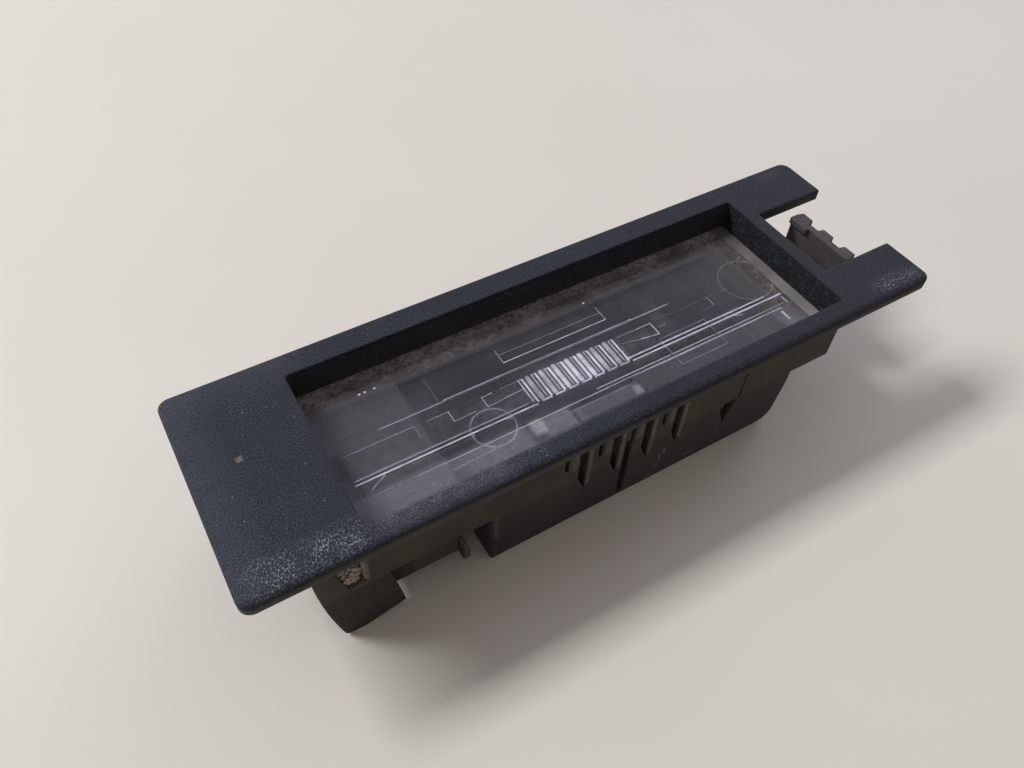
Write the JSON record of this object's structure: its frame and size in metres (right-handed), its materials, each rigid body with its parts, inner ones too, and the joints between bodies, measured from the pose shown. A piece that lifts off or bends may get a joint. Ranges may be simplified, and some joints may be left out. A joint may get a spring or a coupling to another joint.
{
  "type": "number plate lamp",
  "caption": "Snap-in number plate lamp with a flat bezel notched at its latch end, a sunk clear lens, a rear cover over a festoon bulb, hooks and a plug socket.",
  "frame": {"origin": "middle of the lamp's underside, below the middle of the bezel", "axes": "+X along the bezel towards its notched end, +Y across the bezel to its far edge, +Z out through the lens"},
  "size_m": [0.0902, 0.0274, 0.0192],
  "materials": {
    "black_plastic": "fine-grained moulding, dusty and scuffed",
    "clear_plastic": "clear moulding with optics behind, dusty",
    "bulb_glass": "clear",
    "bulb_metal": "nickelled",
    "filament_wire": "drawn wire",
    "contact_brass": "pressed strip"
  },
  "bodies": {
    "root": {"housing": "black_plastic", "rear_cover": "black_plastic", "lens": "clear_plastic", "bulb_glass": "bulb_glass", "bulb_cap_left": "bulb_metal", "bulb_cap_right": "bulb_metal", "bulb_filament": "filament_wire", "contact_left": "contact_brass", "contact_right": "contact_brass"}
  },
  "joints": []
}
